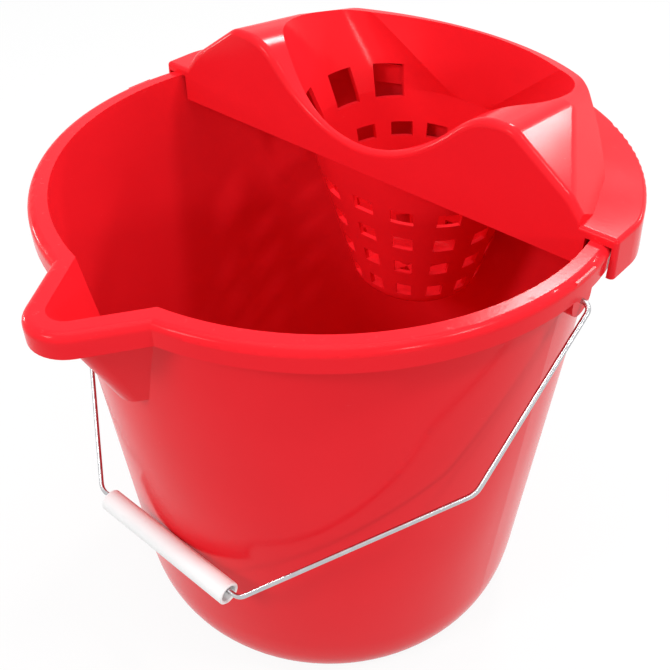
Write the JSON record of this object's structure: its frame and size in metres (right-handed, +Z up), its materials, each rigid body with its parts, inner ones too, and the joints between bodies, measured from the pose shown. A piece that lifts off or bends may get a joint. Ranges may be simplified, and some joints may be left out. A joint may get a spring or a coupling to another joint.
{
  "type": "mop bucket with wringer",
  "caption": "Round tapered mop bucket with a pouring lip, a bent wire handle with a tube grip, and a lift-off cone wringer hooked over the rim.",
  "frame": {"origin": "centre of the bucket's base, in the plane it stands on", "axes": "+Z up along the bucket's axis; the pouring lip points to -Y; the wringer hangs on the +Y half of the rim; the wire handle pivots about X"},
  "size_m": [0.311, 0.3396, 0.3216],
  "materials": {
    "red_plastic": "gloss",
    "steel_wire": "bright drawn wire",
    "white_plastic": "satin"
  },
  "bodies": {
    "bucket": {"bucket": "red_plastic"},
    "wringer": {"wringer": "red_plastic"},
    "bail": {"bail_wire": "steel_wire"},
    "grip": {"grip_tube": "white_plastic"}
  },
  "joints": [
    {"name": "wringer_lift", "type": "slide", "parent": "bucket", "child": "wringer", "axis": [0, 0, 1], "range_m": [0, 0.26]},
    {"name": "bail_swing", "type": "hinge", "parent": "bucket", "child": "bail", "pos_m": [0, 0, 0.267], "axis": [-1, 0, 0], "range_deg": [0, 185]},
    {"name": "grip_spin", "type": "hinge", "parent": "bail", "child": "grip", "pos_m": [0, -0.13554, 0.10219], "axis": [1, 0, 0], "continuous": true}
  ]
}
